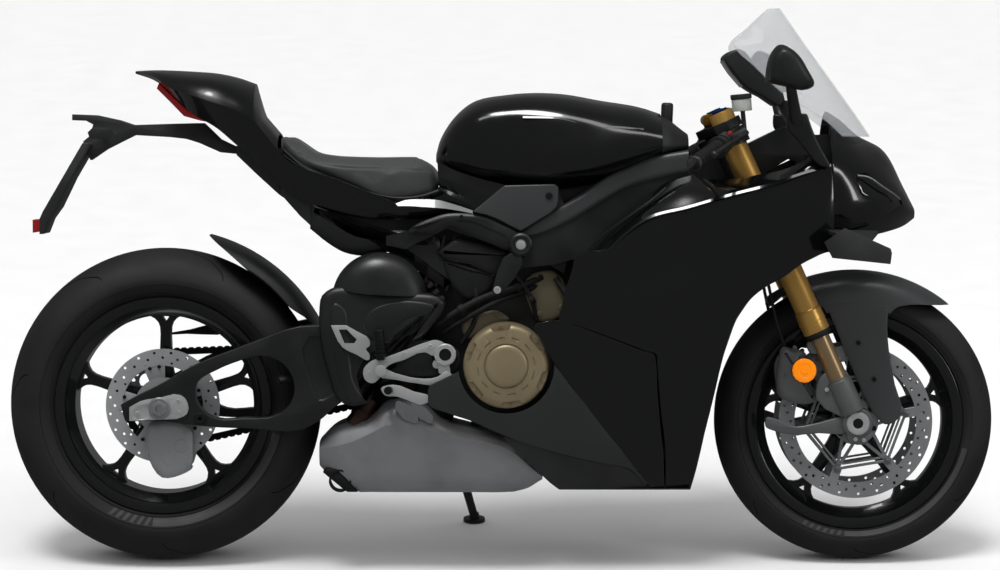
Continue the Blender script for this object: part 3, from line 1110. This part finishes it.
def footrests():
    """Machined footrest plates, pegs and pedals on both sides."""
    arm = slab("arm", outline([(604, 474), (586, 482), (568, 478), (525, 462), (481, 446), (449, 437),
        (433, 420), (436, 398), (452, 390), (470, 404), (484, 426), (520, 440), (563, 456), (584, 448),
        (596, 460)]), -186, -177, 1.8)
    low = slab("arm", outline([(462, 424), (500, 412), (547, 401), (590, 404), (608, 416), (622, 406),
        (608, 389), (547, 390), (500, 398), (462, 408)]), -185, -178, 1.6)
    web = slab("web", [(590, 432), (614, 434), (618, 408), (606, 404), (592, 412)], -184, -178, 1.6)
    ring = lathe("ring", [(13, -170), (13, -190), (21, -190), (23, -188), (23, -170)], (606, 451), steps=64)
    guard = slab("guard", outline([(364, 513), (397, 513), (420, 500), (446, 482), (447, 470), (439, 463),
        (447, 450), (445, 439), (420, 450), (389, 466)], (0, 1)), -183, -178, 1.2)
    cut(guard, slab("window", [(381, 504), (398, 504), (419, 483), (414, 475), (393, 475)], -190, -170))
    lever = slab("pedal", outline([(470, 380), (496, 388), (539, 374), (574, 360), (570, 350), (504, 363),
        (478, 366)]), -196, -189, 1.6)
    hinge = [drum("hinge", (x, -176, z), (x, y, z), r) for x, y, z, r in ((470, -204, 418, 12),
        (484, -198, 376, 8))]
    hinge.append(drum("post", (588, -160, 430), (588, -180, 430), 9))
    bright = [arm, low, web, ring, guard, lever] + [soften(h, 1, 2) for h in hinge]
    bright += [bolt(x, z, -185, 5.2, 3, 2.5) for x, z in ((575, 468), (610, 397), (446, 411), (520, 452),
        (548, 396))]
    settle(pair("footrest_plates", bright), "chassis", BRIGHT_ALLOY, ["footrests"], 35)
    core = drum("core", (606, -168, 451), (606, -187, 451), 13.5)
    peg = drum("peg", (470, -196, 440), (466, -200, 505), 9, 10.5)
    rubber = [drum("peg_ring", (469.6 - 0.5 * k, -196.5 - 0.4 * k, 450 + 8 * k),
        (469.4 - 0.5 * k, -196.7 - 0.4 * k, 454 + 8 * k), 11.6) for k in range(7)]
    toe = drum("toe", (488, -192, 376), (486, -228, 378), 8.5)
    settle(pair("footrest_pegs", [core, soften(peg, 2, 2), soften(toe, 1.5, 2)] + rubber),
           "chassis", DARK_STEEL, (), 35)


def bead(name, points, radius):
    """A rolled edge along a line of (x, y, z) points, drawn on the right and mirrored."""
    settle(pair(name, rod("bead", points, radius)), "chassis", GLOSS_BLACK, (), 60)


# How far a chamfer leans inwards for each millimetre of height, so that it faces the key light.
RISE = 0.66


def chamfer(name, points, width):
    """A narrow polished chamfer along a crease of (x, y, z) points, tipped up to the light."""
    line = [Vector(p) for p in points]
    rows = [[tuple(p + Vector((0, RISE * width * t - 0.9, width * t))) for p in line] for t in (0, 0.5, 1)]
    piece = walled(sheet(name, rows, 5, 2), 1.2)
    settle(both(piece, name), "chassis", GLOSS_BLACK, (), 35)


def facet(name, top, low, y_low):
    """A narrow chamfer between two lines of (x, z) points that tips its face up to the light."""
    rows = []
    for t in (0, 0.5, 1):
        row = []
        for (xa, za), (xb, zb) in zip(top, low):
            x, z = xa + (xb - xa) * t, za + (zb - za) * t
            row.append((x, y_low - (z - zb) * RISE, z))
        rows.append(row)
    piece = walled(sheet(name, rows, 5, 2), 1.5)
    settle(both(piece, name), "chassis", GLOSS_BLACK, (), 35)


def edges():
    """Rolled edges and chamfers along the creases of the bodywork."""
    chamfer("shoulder_edge", [(908, -191, 672), (945, -197, 706), (1000, -201, 746), (1040, -199, 775),
        (1072, -193, 802)], 4.5)
    chamfer("flank_edge", [(946, -224, 666), (985, -228, 704), (1031, -229, 737), (1118, -229, 761),
        (1200, -229, 785), (1282, -221, 806), (1352, -203, 829), (1420, -180, 848)], 5.5)
    chamfer("tank_edge", [(770, -148, 950), (850, -150, 947), (917, -153, 932), (980, -150, 928),
        (1026, -144, 924)], 4)
    bead("seat_edge", [(262, -130, 872), (298, -131, 847), (361, -129, 825), (440, -123, 794),
        (500, -114, 769)], 1.5)
    facet("tail_chamfer", [(500, 769), (520, 776), (556, 778), (600, 775), (634, 766), (666, 755)],
          [(505, 764), (524, 764), (556, 762), (600, 759), (634, 754), (664, 748)], 133)
    facet("skirt_chamfer", [(590, 805), (618, 794), (650, 780), (680, 766)],
          [(596, 797), (616, 787), (642, 774), (668, 758)], 132)


edges()
frame_side()
side_boxes()
engine_covers()
heat_shield()
silencer()
footrests()


# ======================================================================================================
# Seat
# ======================================================================================================


# How far the cover may rise off the pad, the air behind it, the size of its cells and the frames it takes.
COVER_RISE, COVER_PRESSURE, COVER_CELL = 7.0, 4.0, 5.0
CLOTH_FRAMES = 20
# Depth and width of the seam along the seat's side, and of the one across its front, with its place.
SEAM_DEPTH, SEAM_WIDTH = 1.6, 3.5
CROSS_DEPTH, CROSS_WIDTH, CROSS_X = 1.5, 4, 548


def upholstered(piece):
    """Blows a pad up as cloth and caps how far each point may move."""
    modify(piece, "REMESH", mode="VOXEL", voxel_size=COVER_CELL * MM, use_smooth_shade=True)
    start = [v.co.copy() for v in piece.data.vertices]
    only(piece)
    cloth = piece.modifiers.new("cloth", "CLOTH")
    cloth.settings.quality = 5
    cloth.settings.use_pressure = True
    cloth.settings.uniform_pressure_force = COVER_PRESSURE
    cloth.settings.effector_weights.gravity = 0
    cloth.settings.tension_stiffness = cloth.settings.compression_stiffness = 40
    cloth.collision_settings.use_collision = False
    for step in range(CLOTH_FRAMES):
        bpy.context.scene.frame_set(step + 1)
    bpy.ops.object.modifier_apply(modifier=cloth.name)
    bpy.context.scene.frame_set(1)
    for v, old in zip(piece.data.vertices, start):
        move = v.co - old
        if move.length > COVER_RISE * MM:
            v.co = old + move.normalized() * COVER_RISE * MM
    modify(piece, "SMOOTH", factor=0.5, iterations=3)
    return modify(piece, "SUBSURF", levels=1)


def seat():
    """The rider's seat: a waisted, crowned cushion with a sewn seam along its side, on a moulded pan."""
    marks = [  # x, bottom, top, half width
        (256, 882, 917, 78), (270, 870, 912, 98), (298, 848, 890, 114), (328, 836, 869, 122),
        (362, 822, 862, 126), (412, 799, 859, 128), (470, 779, 858, 126), (522, 776, 859, 116),
        (558, 782, 858, 104), (578, 790, 848, 92), (590, 802, 824, 72)]
    rings = []
    for x, low, top, w in marks:
        mid = (low + top) / 2
        rings.append([(x, 0, top + 1), (x, -w * 0.45, top + 1), (x, -w * 0.78, top - 2),
            (x, -w * 0.94, top - 10), (x, -w * 0.97, mid), (x, -w * 0.93, low + 5), (x, -w * 0.72, low),
            (x, 0, low), (x, w * 0.72, low), (x, w * 0.93, low + 5), (x, w * 0.97, mid),
            (x, w * 0.94, top - 10), (x, w * 0.78, top - 2), (x, w * 0.45, top + 1)])
    pad = upholstered(loft("seat_cushion", rings, 4, 6))
    seam = [(296, 874), (328, 857), (362, 849), (412, 844), (470, 843), (522, 842), (556, 838)]
    for v in pad.data.vertices:
        x, y, z = v.co / MM
        line = curve_at([p[0] for p in seam], [p[1] for p in seam], x)
        if 292 < x < 560 and abs(y) > 60:
            inward = SEAM_DEPTH * MM if y > 0 else -SEAM_DEPTH * MM
            v.co.y -= inward * max(0.0, 1 - abs(z - line) / SEAM_WIDTH)
        cross = max(0.0, 1 - abs(x - CROSS_X + 0.0009 * y * y) / CROSS_WIDTH) * (z > line - 4)
        v.co.z -= CROSS_DEPTH * MM * cross
    settle(pad, "chassis", SEAT_COVER, ["seat"], 60)
    base = strap("seat_base", [(262, 886), (300, 853), (361, 826), (440, 797), (500, 784), (556, 788),
        (590, 800)], [(262, 878), (300, 845), (361, 820), (440, 791), (500, 778), (556, 782), (592, 792)],
        112, 118, 3, 4)
    settle(both(base, "seat_base"), "chassis", GRAINED_BLACK, (), 40)


# ======================================================================================================
# Rear end
# ======================================================================================================


def swingarm():
    """The two-sided swingarm with its window and recess, pivot caps, axle plates, nut and shaft."""
    line = outline([(-83, 343), (-48, 362), (-9, 381), (74, 427), (157, 460), (235, 490), (277, 505),
        (337, 511), (420, 488), (520, 482), (600, 473), (634, 456), (634, 424), (606, 408), (520, 402),
        (430, 374), (369, 336), (345, 314), (304, 291), (200, 292), (92, 297), (9, 307), (-74, 308)],
        (0, 22))
    leg = slab("leg", line, -160, -114)
    cut(leg, slab("window", outline([(78, 388), (120, 416), (166, 435), (217, 447), (262, 430), (286, 381),
        (277, 346), (254, 324), (175, 314), (119, 314), (88, 332), (76, 355)]), -200, -60))
    cut(leg, slab("recess", outline([(318, 486), (352, 486), (430, 460), (500, 452), (500, 424), (430, 408),
        (370, 366), (338, 352), (322, 380)]), -170, -156),
        drum("axle_hole", (0, -200, 335.5), (0, -60, 335.5), 13))
    leg = soften(leg, 5.0, 3, 40)
    tube = [drum("hub", (605, -160, 440), (605, -100, 440), 28, sides=40),
            drum("stay", (250, -150, 395), (300, -118, 400), 9, sides=16)]
    cross = slab("cross", outline([(356, 350), (420, 364), (478, 394), (480, 434), (400, 437), (358, 434)]),
        -112, 112, 3)
    arm = joined("leg", [leg] + tube)
    whole = joined("swingarm_arm", [both(arm, "swingarm_arm"), cross])
    settle(whole, "chassis", SATIN_BLACK, ["swingarm"], 40)
    pivot = [lathe("cap", [(0, -158), (0, -163), (9, -166), (17, -166.5), (20, -164), (20, -158)],
        ARM_PIVOT, 48), drum("hex", (605, -162, 440), (605, -168, 440), 8, sides=6)]
    settle(pair("pivot_caps", pivot), "chassis", DARK_STEEL, (), 35)
    plate = slab("plate", outline([(-64, 338), (-40, 351), (0, 358), (44, 364), (55, 356), (59, 325),
        (52, 319), (0, 312), (-64, 309)], (0, 8)), -167.5, -160)
    groove = slab("groove", outline([(-54, 332), (-22, 342), (-22, 318), (-54, 315)]), -180, -165)
    plate = soften(cut(plate, groove), 1.4, 2)
    collar = lathe("collar", [(10, -160), (10, -173), (21, -173), (24, -170), (24, -160)], REAR_HUB, 60)
    nut = soften(drum("nut", (0, -160, 335.5), (0, -177.5, 335.5), 17, sides=6), 1.5, 2)
    cut(nut, drum("bore", (0, -150, 335.5), (0, -190, 335.5), 8.2, sides=40))
    small = [bolt(-46, 325, -166, 4.5, 4, 2.2), bolt(40, 352, -167, 4, 2.5, 2),
        bolt(42, 327, -167, 4, 2.5, 2)]
    small.append(drum("adjuster", (-82, -138, 324), (-60, -138, 326), 5, sides=20))
    settle(pair("axle_nut", [nut, collar]), "chassis", CARRIER_GREY, (), 35)
    silver = pair("axle_plate", [plate] + small)
    shaft = lathe("shaft", [(8.2, -160), (8.2, 160), (12, 160), (12, -160)], REAR_HUB, 40)
    spacer = both(lathe("spacer", [(12, 78), (12, 114), (22, 114), (22, 78)], REAR_HUB, 48), "spacer")
    settle(joined("axle_plates", [silver, shaft, spacer]), "chassis", BRIGHT_ALLOY, ["rear_axle"], 35)


def arch(name, profile, centre, trim, thick, steps, start, sweep):
    """A guard over a tyre: half a profile of (radius, y), turned and trimmed to an outline of (x, z)."""
    line = [(p.x, p.y) for p in thread([(r, y, 0) for r, y in profile], 4)]
    face = [(r, -y) for r, y in reversed(line[1:])] + line
    inner = [(r - thick, y * (1 - thick / 90)) for r, y in reversed(face)]
    shell = lathe(name, face + inner, centre, steps=steps, start=start, sweep=sweep)
    return cut(shell, slab("trim", trim, -180, 180), how="INTERSECT")


def rear_guards():
    """The hugger over the rear tyre and the narrow upper chain guard on the left."""
    trim = outline([(96, 700), (128, 697), (207, 668), (291, 624), (345, 570), (400, 500), (418, 452),
        (400, 444), (345, 444), (318, 512), (268, 550), (207, 604), (150, 655)], (0, 7, 8))
    shell = arch("hugger_shell", [(378, 0), (377, 30), (374, 58), (363, 88), (346, 103)], REAR_HUB, trim,
        3.5, 90, 10, 70)
    settle(soften(shell, 0.8, 2), "chassis", SATIN_BLACK, ["hugger"], 40)
    guard = slab("guard", outline([(-23, 475), (40, 487), (103, 494), (112, 484), (32, 477)]), 128, 131, 1)
    settle(guard, "chassis", GRAINED_BLACK, (), 40)


def rear_brake():
    """The rear caliper below the axle."""
    body = puffed("caliper", outline([(-26, 300), (0, 306), (40, 304), (62, 290), (66, 250), (64, 212),
        (40, 190), (0, 184), (-26, 220), (-32, 262)]), -96, -118, ((3, 3), (5, 2.5), (8, 1)))
    inner = slab("caliper_inner", outline([(-26, 300), (62, 290), (64, 212), (40, 190), (0, 184),
        (-30, 240)]), -80, -62, 3)
    bridge = slab("bridge", outline([(0, 206), (50, 214), (64, 205), (40, 188), (0, 184)]), -98, -76, 2)
    marks = [lathe("piston", [(0, -122), (0, -125), (13, -125.5), (16, -123), (16, -118)], c, 40)
        for c in ((14, 226), (42, 252))]
    marks += [bolt(x, z, -121, 5, 5, 2.6) for x, z in ((-10, 288), (50, 280), (54, 214), (-8, 204))]
    marks.append(drum("nipple", (20, -112, 300), (22, -112, 316), 4, sides=16))
    settle(joined("rear_brake", [body, inner, bridge] + marks), "chassis", CAST_LIGHT, ["rear_caliper"], 35)


# ======================================================================================================
# Front end
# ======================================================================================================


# Along the fork legs, square to them ahead, and how far each leg stands from the middle.
UP = Vector((-sin(RAKE), 0, cos(RAKE)))
AHEAD = Vector((cos(RAKE), 0, sin(RAKE)))
LEG_SPREAD = 106.0


def on_leg(height):
    """A point on the right fork leg, at a height along it from the axle."""
    return Vector(FRONT_AXLE) + UP * height + Vector((0, -LEG_SPREAD, 0))


def leg_ring(low, high, radius, end=None, sides=64):
    """A round length of a fork leg between two heights."""
    return drum("ring", on_leg(low), on_leg(high), radius, end, sides)


def forks():
    """Fork tubes, seals and sliders, the axle clamps with their radial arms, and the axle's ends."""
    gold = [leg_ring(262, 724, 27), leg_ring(214, 262, 29), leg_ring(262, 266, 29, 27),
        leg_ring(722, 726, 25), leg_ring(236, 239, 29.6), leg_ring(228, 230, 29.6)]
    settle(pair("fork_outers", [soften(g, 0.8, 2) for g in gold]), "steering", FORK_GOLD,
           ["fork_tubes"], 30)
    caps = [soften(leg_ring(724, 731, 17, sides=6), 1.2, 2), leg_ring(724, 728, 21)]
    settle(pair("fork_caps", caps), "steering", BLUE, (), 30)
    seal = [soften(leg_ring(205, 214, 28.6), 1.2, 2), leg_ring(201, 205, 26)]
    settle(pair("fork_seals", seal), "steering", SOFT_RUBBER, (), 30)
    settle(both(leg_ring(88, 204, 21.5), "fork_sliders"), "steering", SLIDER, ["fork_legs"], 30)
    clamp = [soften(leg_ring(24, 100, 27), 2.5, 3), soften(leg_ring(98, 104, 25), 1.2, 2),
        lathe("eye", [(17, -121), (17, -92), (30, -92), (33, -95), (33, -118), (30, -121)], FRONT_HUB, 64),
        soften(slab("pinch", outline([(1462, 278), (1500, 272), (1508, 262), (1494, 254), (1466, 262)]),
        -119, -93), 2, 2)]
    arm = slab("arm", outline([(1290, 291), (1304, 284), (1357, 275), (1403, 278), (1466, 283), (1466, 310),
        (1403, 301), (1351, 293), (1308, 310), (1291, 312)]), -111, -99)
    lug = slab("lug", outline([(1396, 352), (1470, 314), (1474, 384), (1452, 420), (1404, 398)]), -116, -98)
    high = slab("lug", outline([(1376, 470), (1384, 448), (1420, 462), (1412, 490)]), -116, -98)
    clamp += [soften(p, 3, 3, 40) for p in (arm, lug, high)]
    settle(pair("axle_clamps", clamp), "steering", CAST_GREY, (), 35)
    ends = [lathe("end", [(11, -121), (11, -125.5), (16, -127), (23, -126), (25, -123), (25, -119)],
        FRONT_HUB, 64)]
    ends += [bolt(x, z, -118.5, 4.4, 4, 2.2) for x, z in ((1480, 266), (1498, 264), (1418, 372), (1398, 470))]
    settle(pair("axle_ends", ends), "steering", BRIGHT_ALLOY, (), 30)
    dark = [drum("core", (1485, -123.5, 300), (1485, -118, 300), 16, sides=40)]
    settle(pair("axle_cores", dark), "steering", DARK_STEEL, (), 30)


def front_brakes():
    """Radial calipers, each a finned outer half with bolts and a hose union, and the amber reflectors."""
    outer = puffed("caliper", outline([(1326, 462), (1346, 458), (1376, 448), (1372, 420), (1392, 372),
        (1404, 352), (1384, 340), (1352, 342), (1326, 352), (1314, 384), (1318, 428)]), -73, -92,
        ((3, 3), (5, 2.5), (7, 1)))
    inner = slab("caliper_inner", outline([(1330, 456), (1374, 446), (1392, 372), (1400, 352), (1352, 344),
        (1318, 380)]), -58, -40, 3)
    bridge = slab("bridge", outline([(1316, 440), (1330, 452), (1332, 420), (1326, 372), (1340, 346),
        (1322, 352), (1313, 384)]), -76, -54, 2)
    extras = [drum("bore", (x, -90, z), (x, -98, z), 12) for x, z in ((1350, 430), (1356, 372))]
    extras += [drum("union", (1346, -92, 452), (1352, -104, 462), 5), bolt(1384, 442, -96, 5, 5, 2.6),
        bolt(1330, 402, -98, 3.5, 3, 2)]
    settle(pair("front_brakes", [outer, inner, bridge] + extras), "steering", CAST_GREY,
           ["front_calipers"], 35)
    face = [(0, -141), (7, -140.8), (8, -139.4), (15, -139.2), (16, -140), (23, -139), (26, -136.5),
        (26, -129), (0, -129)]
    disc = lathe("reflector_face", face, REFLECTOR, steps=16)
    settle(both(disc, "reflector_face"), "steering", AMBER, ["front_reflectors"], 8)
    post = drum("post", (1366, -130, 414), (1362, -94, 412), 5, sides=20)
    settle(pair("reflector_posts", [post, lathe("rim", [(24, -128), (24, -130), (27, -130), (27, -127)],
        REFLECTOR, 64)]), "steering", DARK_STEEL, (), 30)


def front_guard():
    """The front mudguard with its long side tongues and their screws."""
    trim = outline([(1292, 582), (1300, 545), (1342, 573), (1380, 560), (1414, 545), (1427, 524),
        (1549, 524), (1570, 545), (1600, 551), (1650, 550), (1690, 549), (1660, 585), (1632, 640),
        (1500, 660), (1380, 650), (1320, 615)], (0, 1, 10))
    shell = arch("guard_shell", [(324, 0), (322.5, 20), (317, 42), (306, 62), (290, 74), (268, 80),
        (244, 82)], FRONT_HUB, trim, 3.0, 120, 15, 150)
    tongue = puffed("tongue", outline([(1420, 552), (1470, 556), (1553, 550), (1551, 500), (1556, 445),
        (1568, 380), (1581, 317), (1568, 300), (1546, 295), (1524, 317), (1502, 357), (1462, 450)], (0, 2)),
        -78, -81.2, ((2.5, 0.9), (4, 0.6)))
    pins = [bolt(x, z, -85, 5, 1.5, 2) for x, z in ((1489, 470), (1523, 392))]
    whole = joined("front_guard", [soften(shell, 0.8, 2), both(tongue, "tongue")])
    settle(whole, "steering", SATIN_GREY, ["front_mudguard"], 40)
    settle(pair("guard_pins", pins), "steering", DARK_STEEL, (), 30)


def mirrors():
    """Mirror heads on curved arms and feet, with their glass."""
    sections = [(-236, 0.72), (-262, 0.92), (-300, 1.0), (-338, 0.93), (-356, 0.74), (-360, 0.5)]
    head = [(1272, 1024), (1274, 1052), (1283, 1084), (1300, 1102), (1329, 1090), (1358, 1051), (1371, 1016),
            (1358, 1009), (1310, 1016)]
    rings = [[(1322 + (x - 1322) * s, y, 1052 + (z - 1052) * s) for x, z in head] for y, s in sections]
    shell = loft("mirror_shell", rings, 4, 5)
    arm = [drum("arm", (1346, -190, 942), (1336, -222, 986), 14, 12),
        drum("arm", (1336, -222, 986), (1326, -258, 1032), 12, 10)]
    foot = slab("foot", outline([(1326, 932), (1350, 902), (1368, 880), (1396, 850), (1416, 846),
        (1396, 890), (1378, 930), (1368, 960), (1326, 960)], (7, 8)), -200, -178, 5, 3)
    settle(pair("mirror_shells", [shell, foot] + arm), "chassis", SATIN_BLACK, ["mirrors"], 45)
    glass = slab("glass", [(1277, 1028), (1279, 1050), (1287, 1080), (1290, 1080), (1282, 1050),
        (1280, 1028)], -345, -250, 1)
    settle(both(glass, "mirror_glass"), "chassis", MIRROR_GLASS, (), 30)


def cockpit():
    """Bar weights, grips, switch housings, the fluid cup with its post, and the instrument."""
    inner, outer = Vector((1228, 128, 918)), Vector((1123, 345, 856))
    line = (outer - inner).normalized()

    def at(d, ahead=0.0, up=0.0):
        p = outer - line * d + AHEAD * ahead + Vector((0, 0, up))
        return (p.x, -p.y, p.z)

    weight = [soften(drum("weight", at(12), at(-6), 15), 1.5, 2)]
    settle(pair("bar_weights", weight), "steering", ALLOY, (), 30)
    flange = soften(drum("flange", at(136), at(130), 23, sides=48), 1.5, 2)
    grip = [drum("grip", at(130), at(13), 16.4, sides=40), flange]
    grip += [drum("rib", at(22 + 9 * k), at(26 + 9 * k), 17.2, sides=40) for k in range(11)]
    settle(pair("grip_rubber", grip), "steering", SOFT_RUBBER, ["grips"], 35)
    house = [soften(drum("house", at(176), at(137), 19), 3, 3),
        soften(drum("perch", at(206), at(180), 16), 2, 2),
        soften(drum("arm", at(194, 12), at(188, 44, 4), 9), 2, 2),
        drum("band", at(160), at(157), 20),
        soften(drum("pod", at(170, 4, 8), at(148, 4, 8), 15), 3, 3)]
    post = drum("post", (1238, -172, 926), (1234, -170, 966), 5, sides=24)
    settle(joined("switch_gear", [pair("switches", house), post]), "steering", GRAINED_BLACK,
           ["hand_controls"], 40)
    cup = soften(drum("cup", (1233, -170, 965), (1231, -170, 990), 21, sides=56), 2, 2)
    lid = [soften(drum("lid", (1231, -170, 990), (1230, -170, 1001), 22.5, sides=56), 2, 2)]
    settle(cup, "steering", CUP_PLASTIC, (), 35)
    settle(joined("cup_lid", lid), "steering", GRAINED_BLACK, (), 35)
    kill = soften(drum("kill", at(158, 14, 14), at(158, 20, 18), 5), 1, 2)
    settle(kill, "steering", RED_LENS, (), 30)
    hood = slab("hood", outline([(1201, 1080), (1215, 1093), (1233, 1098), (1268, 1064), (1300, 1030),
        (1330, 991), (1322, 977), (1284, 996), (1247, 1017), (1220, 1050)]), -82, 82)
    settle(soften(hood, 6, 3, 40), "chassis", GRAINED_BLACK, ["dash"], 40)
    face = slab("face", [(1204, 1076), (1222, 1050), (1246, 1020), (1243, 1017), (1217, 1047),
        (1200, 1073)], -72, 72, 1)
    settle(face, "chassis", DISPLAY, (), 30)


def lamp_line():
    """The slim light above each dark headlamp."""
    path = [(1478, -158, 829), (1500, -151, 826), (1532, -138, 806), (1560, -122, 788), (1573, -112, 778)]
    settle(pair("lamp_lines", rod("strip", path, 2.6, 4)), "chassis", ALLOY, (), 60)


seat()
swingarm()
rear_guards()
rear_brake()
forks()
front_brakes()
front_guard()
mirrors()
cockpit()
lamp_line()
for name, width in (("plate_holder", 2.0), ("winglets", 1.2), ("triple_clamps", 2.5), ("handlebars", 1.5),
        ("levers", 1.0), ("steering_damper", 1.0), ("side_stand", 1.5), ("stand_bracket", 2.0),
        ("tail_light", 1.0), ("headlamps", 1.0), ("fairing_stay", 1.5), ("stand_bosses", 0.8),
        ("rear_indicators", 1.5), ("sprocket_cover", 2.0)):
    refined(name, width)


# ======================================================================================================
# Studio
# ======================================================================================================


def lamp(name, kind, place, aim, power, size, deep=None):
    """A light at a place, aimed at a point; its size is a sun's angle or an area's width."""
    bpy.ops.object.light_add(type=kind, location=place)
    light = bpy.context.object
    light.name = name
    light.data.energy = power
    if kind == "AREA":
        light.data.shape = "RECTANGLE"
        light.data.size, light.data.size_y = size, deep
    if kind == "SUN":
        light.data.angle = size
    light.rotation_euler = (Vector(aim) - Vector(place)).to_track_quat("-Z", "Y").to_euler()
    return light


bpy.ops.mesh.primitive_plane_add(size=60, location=(0, 10, 0))
floor = bpy.context.object
floor.name = "studio_floor"
floor.data.materials.append(surface("painted_studio_floor", "#f1f1f1", 0.6, mottle=0.1))
floor.visible_glossy = False
# Two suns light bike and floor evenly; two strips draw the long lines on the gloss panels.
lamp("sun_key", "SUN", (-0.8, -1.6, 6), (0, 0, 0), 1.5, radians(20))
fill = lamp("sun_fill", "SUN", (0.2, -0.8, 6), (0, 0, 0), 2.0, radians(120))
fill.visible_glossy = False
lamp("strip_over", "AREA", (0.2, -0.9, 3.2), (0.1, 0, 0.8), 14, 3.4, 0.4)
lamp("strip_front", "AREA", (3.4, -2.2, 2.2), (0.3, 0, 0.7), 16, 0.4, 2.0)

world = bpy.data.worlds.new("studio")
bpy.context.scene.world = world
world.use_nodes = True
world.node_tree.nodes["Background"].inputs["Color"].default_value = colour("#ffffff")
world.node_tree.nodes["Background"].inputs["Strength"].default_value = 0.11
bpy.context.scene.view_settings.view_transform = "Standard"

# The camera stands square to the bike's right side and leans with it, as if the bike stood upright.
CAMERA_PLACE, CAMERA_PITCH, CAMERA_LENS = (721.8, -7795, 930.1), 0.04357, 129.9
bpy.ops.object.camera_add()
camera = bpy.context.object
camera.name = "camera_side"
camera.data.lens = CAMERA_LENS
camera.data.sensor_width = 36
camera.data.clip_end = 200
camera.matrix_world = (PARK @ Matrix.Translation(Vector(CAMERA_PLACE) * MM)
    @ Matrix.Rotation(pi / 2 - CAMERA_PITCH, 4, "X"))
bpy.context.scene.camera = camera
